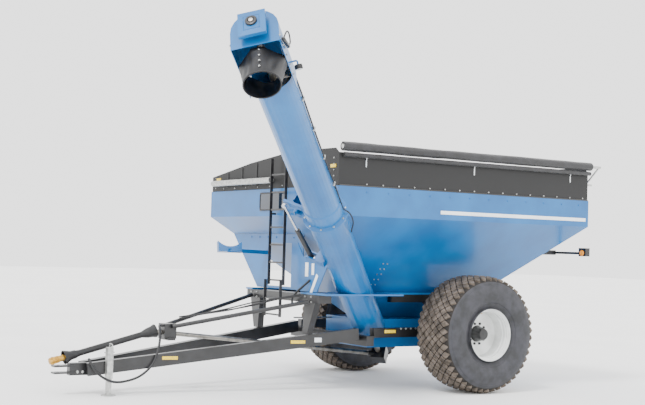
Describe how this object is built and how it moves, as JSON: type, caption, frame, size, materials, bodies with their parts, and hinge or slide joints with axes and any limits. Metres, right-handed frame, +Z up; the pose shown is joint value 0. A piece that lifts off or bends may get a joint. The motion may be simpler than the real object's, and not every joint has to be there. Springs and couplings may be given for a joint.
{
  "type": "grain cart",
  "caption": "Single-axle grain cart: sloped open hopper, folding corner unloading auger, drawbar with driveline, jack, ladder, roll-up cover and flotation wheels.",
  "frame": {"origin": "on the ground below the middle of the bounding box of the cart without its hanging hose", "axes": "+X forward along the tongue, +Y to the cart's left, where the auger leans out, +Z up"},
  "size_m": [9.1252, 7.1066, 5.0975],
  "materials": {
    "blue_paint": "gloss enamel",
    "black_paint": "satin enamel",
    "extension_black": "satin powder coat",
    "bare_steel": "worn mill finish",
    "window_glass": "dark, polished",
    "tarp_cloth": "coated weave, semi-matt",
    "zinc_plate": "zinc plated",
    "tyre_rubber": "matt, dusty on the tread",
    "rim_paint": "gloss enamel",
    "guard_plastic": "matt",
    "yoke_paint": "yellow paint",
    "hose_rubber": "matt",
    "spout_rubber": "matt"
  },
  "bodies": {
    "cart": {"auger_gearbox": "black_paint", "auger_gusset": "blue_paint", "auger_saddle": "blue_paint", "axle": "black_paint", "front_bulkhead": "blue_paint", "front_end_cap": "extension_black", "front_panel": "blue_paint", "front_rail": "zinc_plate", "hitch": "black_paint", "hydraulic_hose": "hose_rubber", "jack_tube": "zinc_plate", "ladder": "black_paint", "left_axle_rail": "black_paint", "left_brace": "black_paint", "left_front_leg": "black_paint", "left_light_arm": "black_paint", "left_side_panel": "blue_paint", "left_sideboard": "extension_black", "left_sill": "blue_paint", "left_upper_rail": "black_paint", "lower_auger_tube": "blue_paint", "lower_crossmember": "black_paint", "pto_stand": "black_paint", "rear_end_cap": "extension_black", "rear_panel": "blue_paint", "right_axle_rail": "black_paint", "right_brace": "black_paint", "right_front_leg": "black_paint", "right_light_arm": "black_paint", "right_side_panel": "blue_paint", "right_sideboard": "extension_black", "right_sill": "blue_paint", "right_upper_rail": "black_paint", "sight_window": "window_glass", "sump": "blue_paint", "tarp_roll": "tarp_cloth", "tongue_left_beam": "black_paint", "tongue_right_beam": "black_paint", "upper_crossmember": "black_paint"},
    "left_wheel": {"left_tyre": "tyre_rubber", "left_rim": "rim_paint", "left_hub": "black_paint"},
    "right_wheel": {"right_tyre": "tyre_rubber", "right_rim": "rim_paint", "right_hub": "black_paint"},
    "upper_auger": {"upper_auger_tube": "blue_paint", "discharge_hood": "blue_paint"},
    "upper_flighting_body": {"upper_flighting": "bare_steel"},
    "lower_flighting_body": {"lower_flighting": "bare_steel"},
    "spout_body": {"spout": "spout_rubber"},
    "fold_cylinder_barrel_body": {"fold_cylinder_barrel": "black_paint"},
    "fold_cylinder_rod_body": {"fold_cylinder_rod": "zinc_plate"},
    "pto_rear_shaft_body": {"pto_rear_shaft": "bare_steel"},
    "pto_guard_body": {"pto_guard": "guard_plastic"},
    "pto_front_shaft_body": {"pto_front_shaft": "yoke_paint"},
    "jack_leg_body": {"jack_leg": "zinc_plate"},
    "ladder_step_body": {"ladder_step": "black_paint"},
    "tarp_crank_body": {"tarp_crank": "zinc_plate"},
    "flow_gate_body": {"flow_gate": "bare_steel"},
    "cleanout_door_body": {"cleanout_door": "blue_paint"}
  },
  "joints": [
    {"name": "left_wheel_spin", "type": "hinge", "parent": "cart", "child": "left_wheel", "pos_m": [-1.9823, 0.48674, 0.945], "axis": [0, 1, 0], "continuous": true},
    {"name": "right_wheel_spin", "type": "hinge", "parent": "cart", "child": "right_wheel", "pos_m": [-1.9823, -3.07326, 0.945], "axis": [0, 1, 0], "continuous": true},
    {"name": "auger_fold", "type": "hinge", "parent": "cart", "child": "upper_auger", "pos_m": [1.54371, 0.70971, 2.88649], "axis": [0.6249, 0.0578, -0.7786], "range_deg": [0, 141]},
    {"name": "fold_barrel_swing", "type": "hinge", "parent": "cart", "child": "fold_cylinder_barrel_body", "pos_m": [1.04918, 0.22769, 2.1327], "axis": [0.6249, 0.0578, -0.7786], "range_deg": [0, 6.37]},
    {"name": "fold_rod_slide", "type": "slide", "parent": "fold_cylinder_barrel_body", "child": "fold_cylinder_rod_body", "axis": [-0.6742, -0.4629, -0.5755], "range_m": [0, 0.47854]},
    {"name": "upper_flighting_spin", "type": "hinge", "parent": "upper_auger", "child": "upper_flighting_body", "pos_m": [1.35257, 1.06135, 2.75916], "axis": [0.6343, 0.5438, 0.5495], "continuous": true},
    {"name": "lower_flighting_spin", "type": "hinge", "parent": "cart", "child": "lower_flighting_body", "pos_m": [1.35257, 1.06135, 2.75916], "axis": [0.6343, 0.5438, 0.5495], "continuous": true},
    {"name": "pto_rear_spin", "type": "hinge", "parent": "cart", "child": "pto_rear_shaft_body", "pos_m": [2.6777, -1.29326, 0.885], "axis": [0.9943, -0.0225, 0.1039], "continuous": true},
    {"name": "pto_guard_lift", "type": "hinge", "parent": "cart", "child": "pto_guard_body", "pos_m": [2.91634, -1.29867, 0.90993], "axis": [0, -1, 0], "range_deg": [0, 25]},
    {"name": "pto_front_spin", "type": "hinge", "parent": "pto_guard_body", "child": "pto_front_shaft_body", "pos_m": [2.91634, -1.29867, 0.90993], "axis": [0.9686, 0.0036, -0.2486], "continuous": true},
    {"name": "spout_swing", "type": "hinge", "parent": "upper_auger", "child": "spout_body", "pos_m": [3.58066, 3.0565, 4.43664], "axis": [-0.7366, 0.6408, 0.2162], "range_deg": [-15, 15]},
    {"name": "flow_gate_slide", "type": "slide", "parent": "cart", "child": "flow_gate_body", "axis": [-1, 0, 0], "range_m": [0, 0.46]},
    {"name": "cleanout_door_swing", "type": "hinge", "parent": "cart", "child": "cleanout_door_body", "pos_m": [-1.8023, -1.69332, 0.6597], "axis": [0, 1, 0], "range_deg": [0, 90]},
    {"name": "ladder_step_fold", "type": "hinge", "parent": "cart", "child": "ladder_step_body", "pos_m": [1.0907, -0.82326, 1.7], "axis": [0, -1, 0], "range_deg": [0, 175]},
    {"name": "tarp_crank_spin", "type": "hinge", "parent": "cart", "child": "tarp_crank_body", "pos_m": [-4.2426, 0.76674, 3.788], "axis": [1, 0, 0], "continuous": true},
    {"name": "jack_leg_slide", "type": "slide", "parent": "cart", "child": "jack_leg_body", "axis": [0, 0, 1], "range_m": [0, 0.15]}
  ],
  "couplings": [
    {"joint": "fold_barrel_swing", "follows": "auger_fold", "ratio": 0.045019},
    {"joint": "fold_rod_slide", "follows": "auger_fold", "m_per_rad": 0.19425},
    {"joint": "lower_flighting_spin", "follows": "upper_flighting_spin", "ratio": 1},
    {"joint": "pto_rear_spin", "follows": "upper_flighting_spin", "ratio": -2},
    {"joint": "pto_front_spin", "follows": "upper_flighting_spin", "ratio": -2}
  ]
}
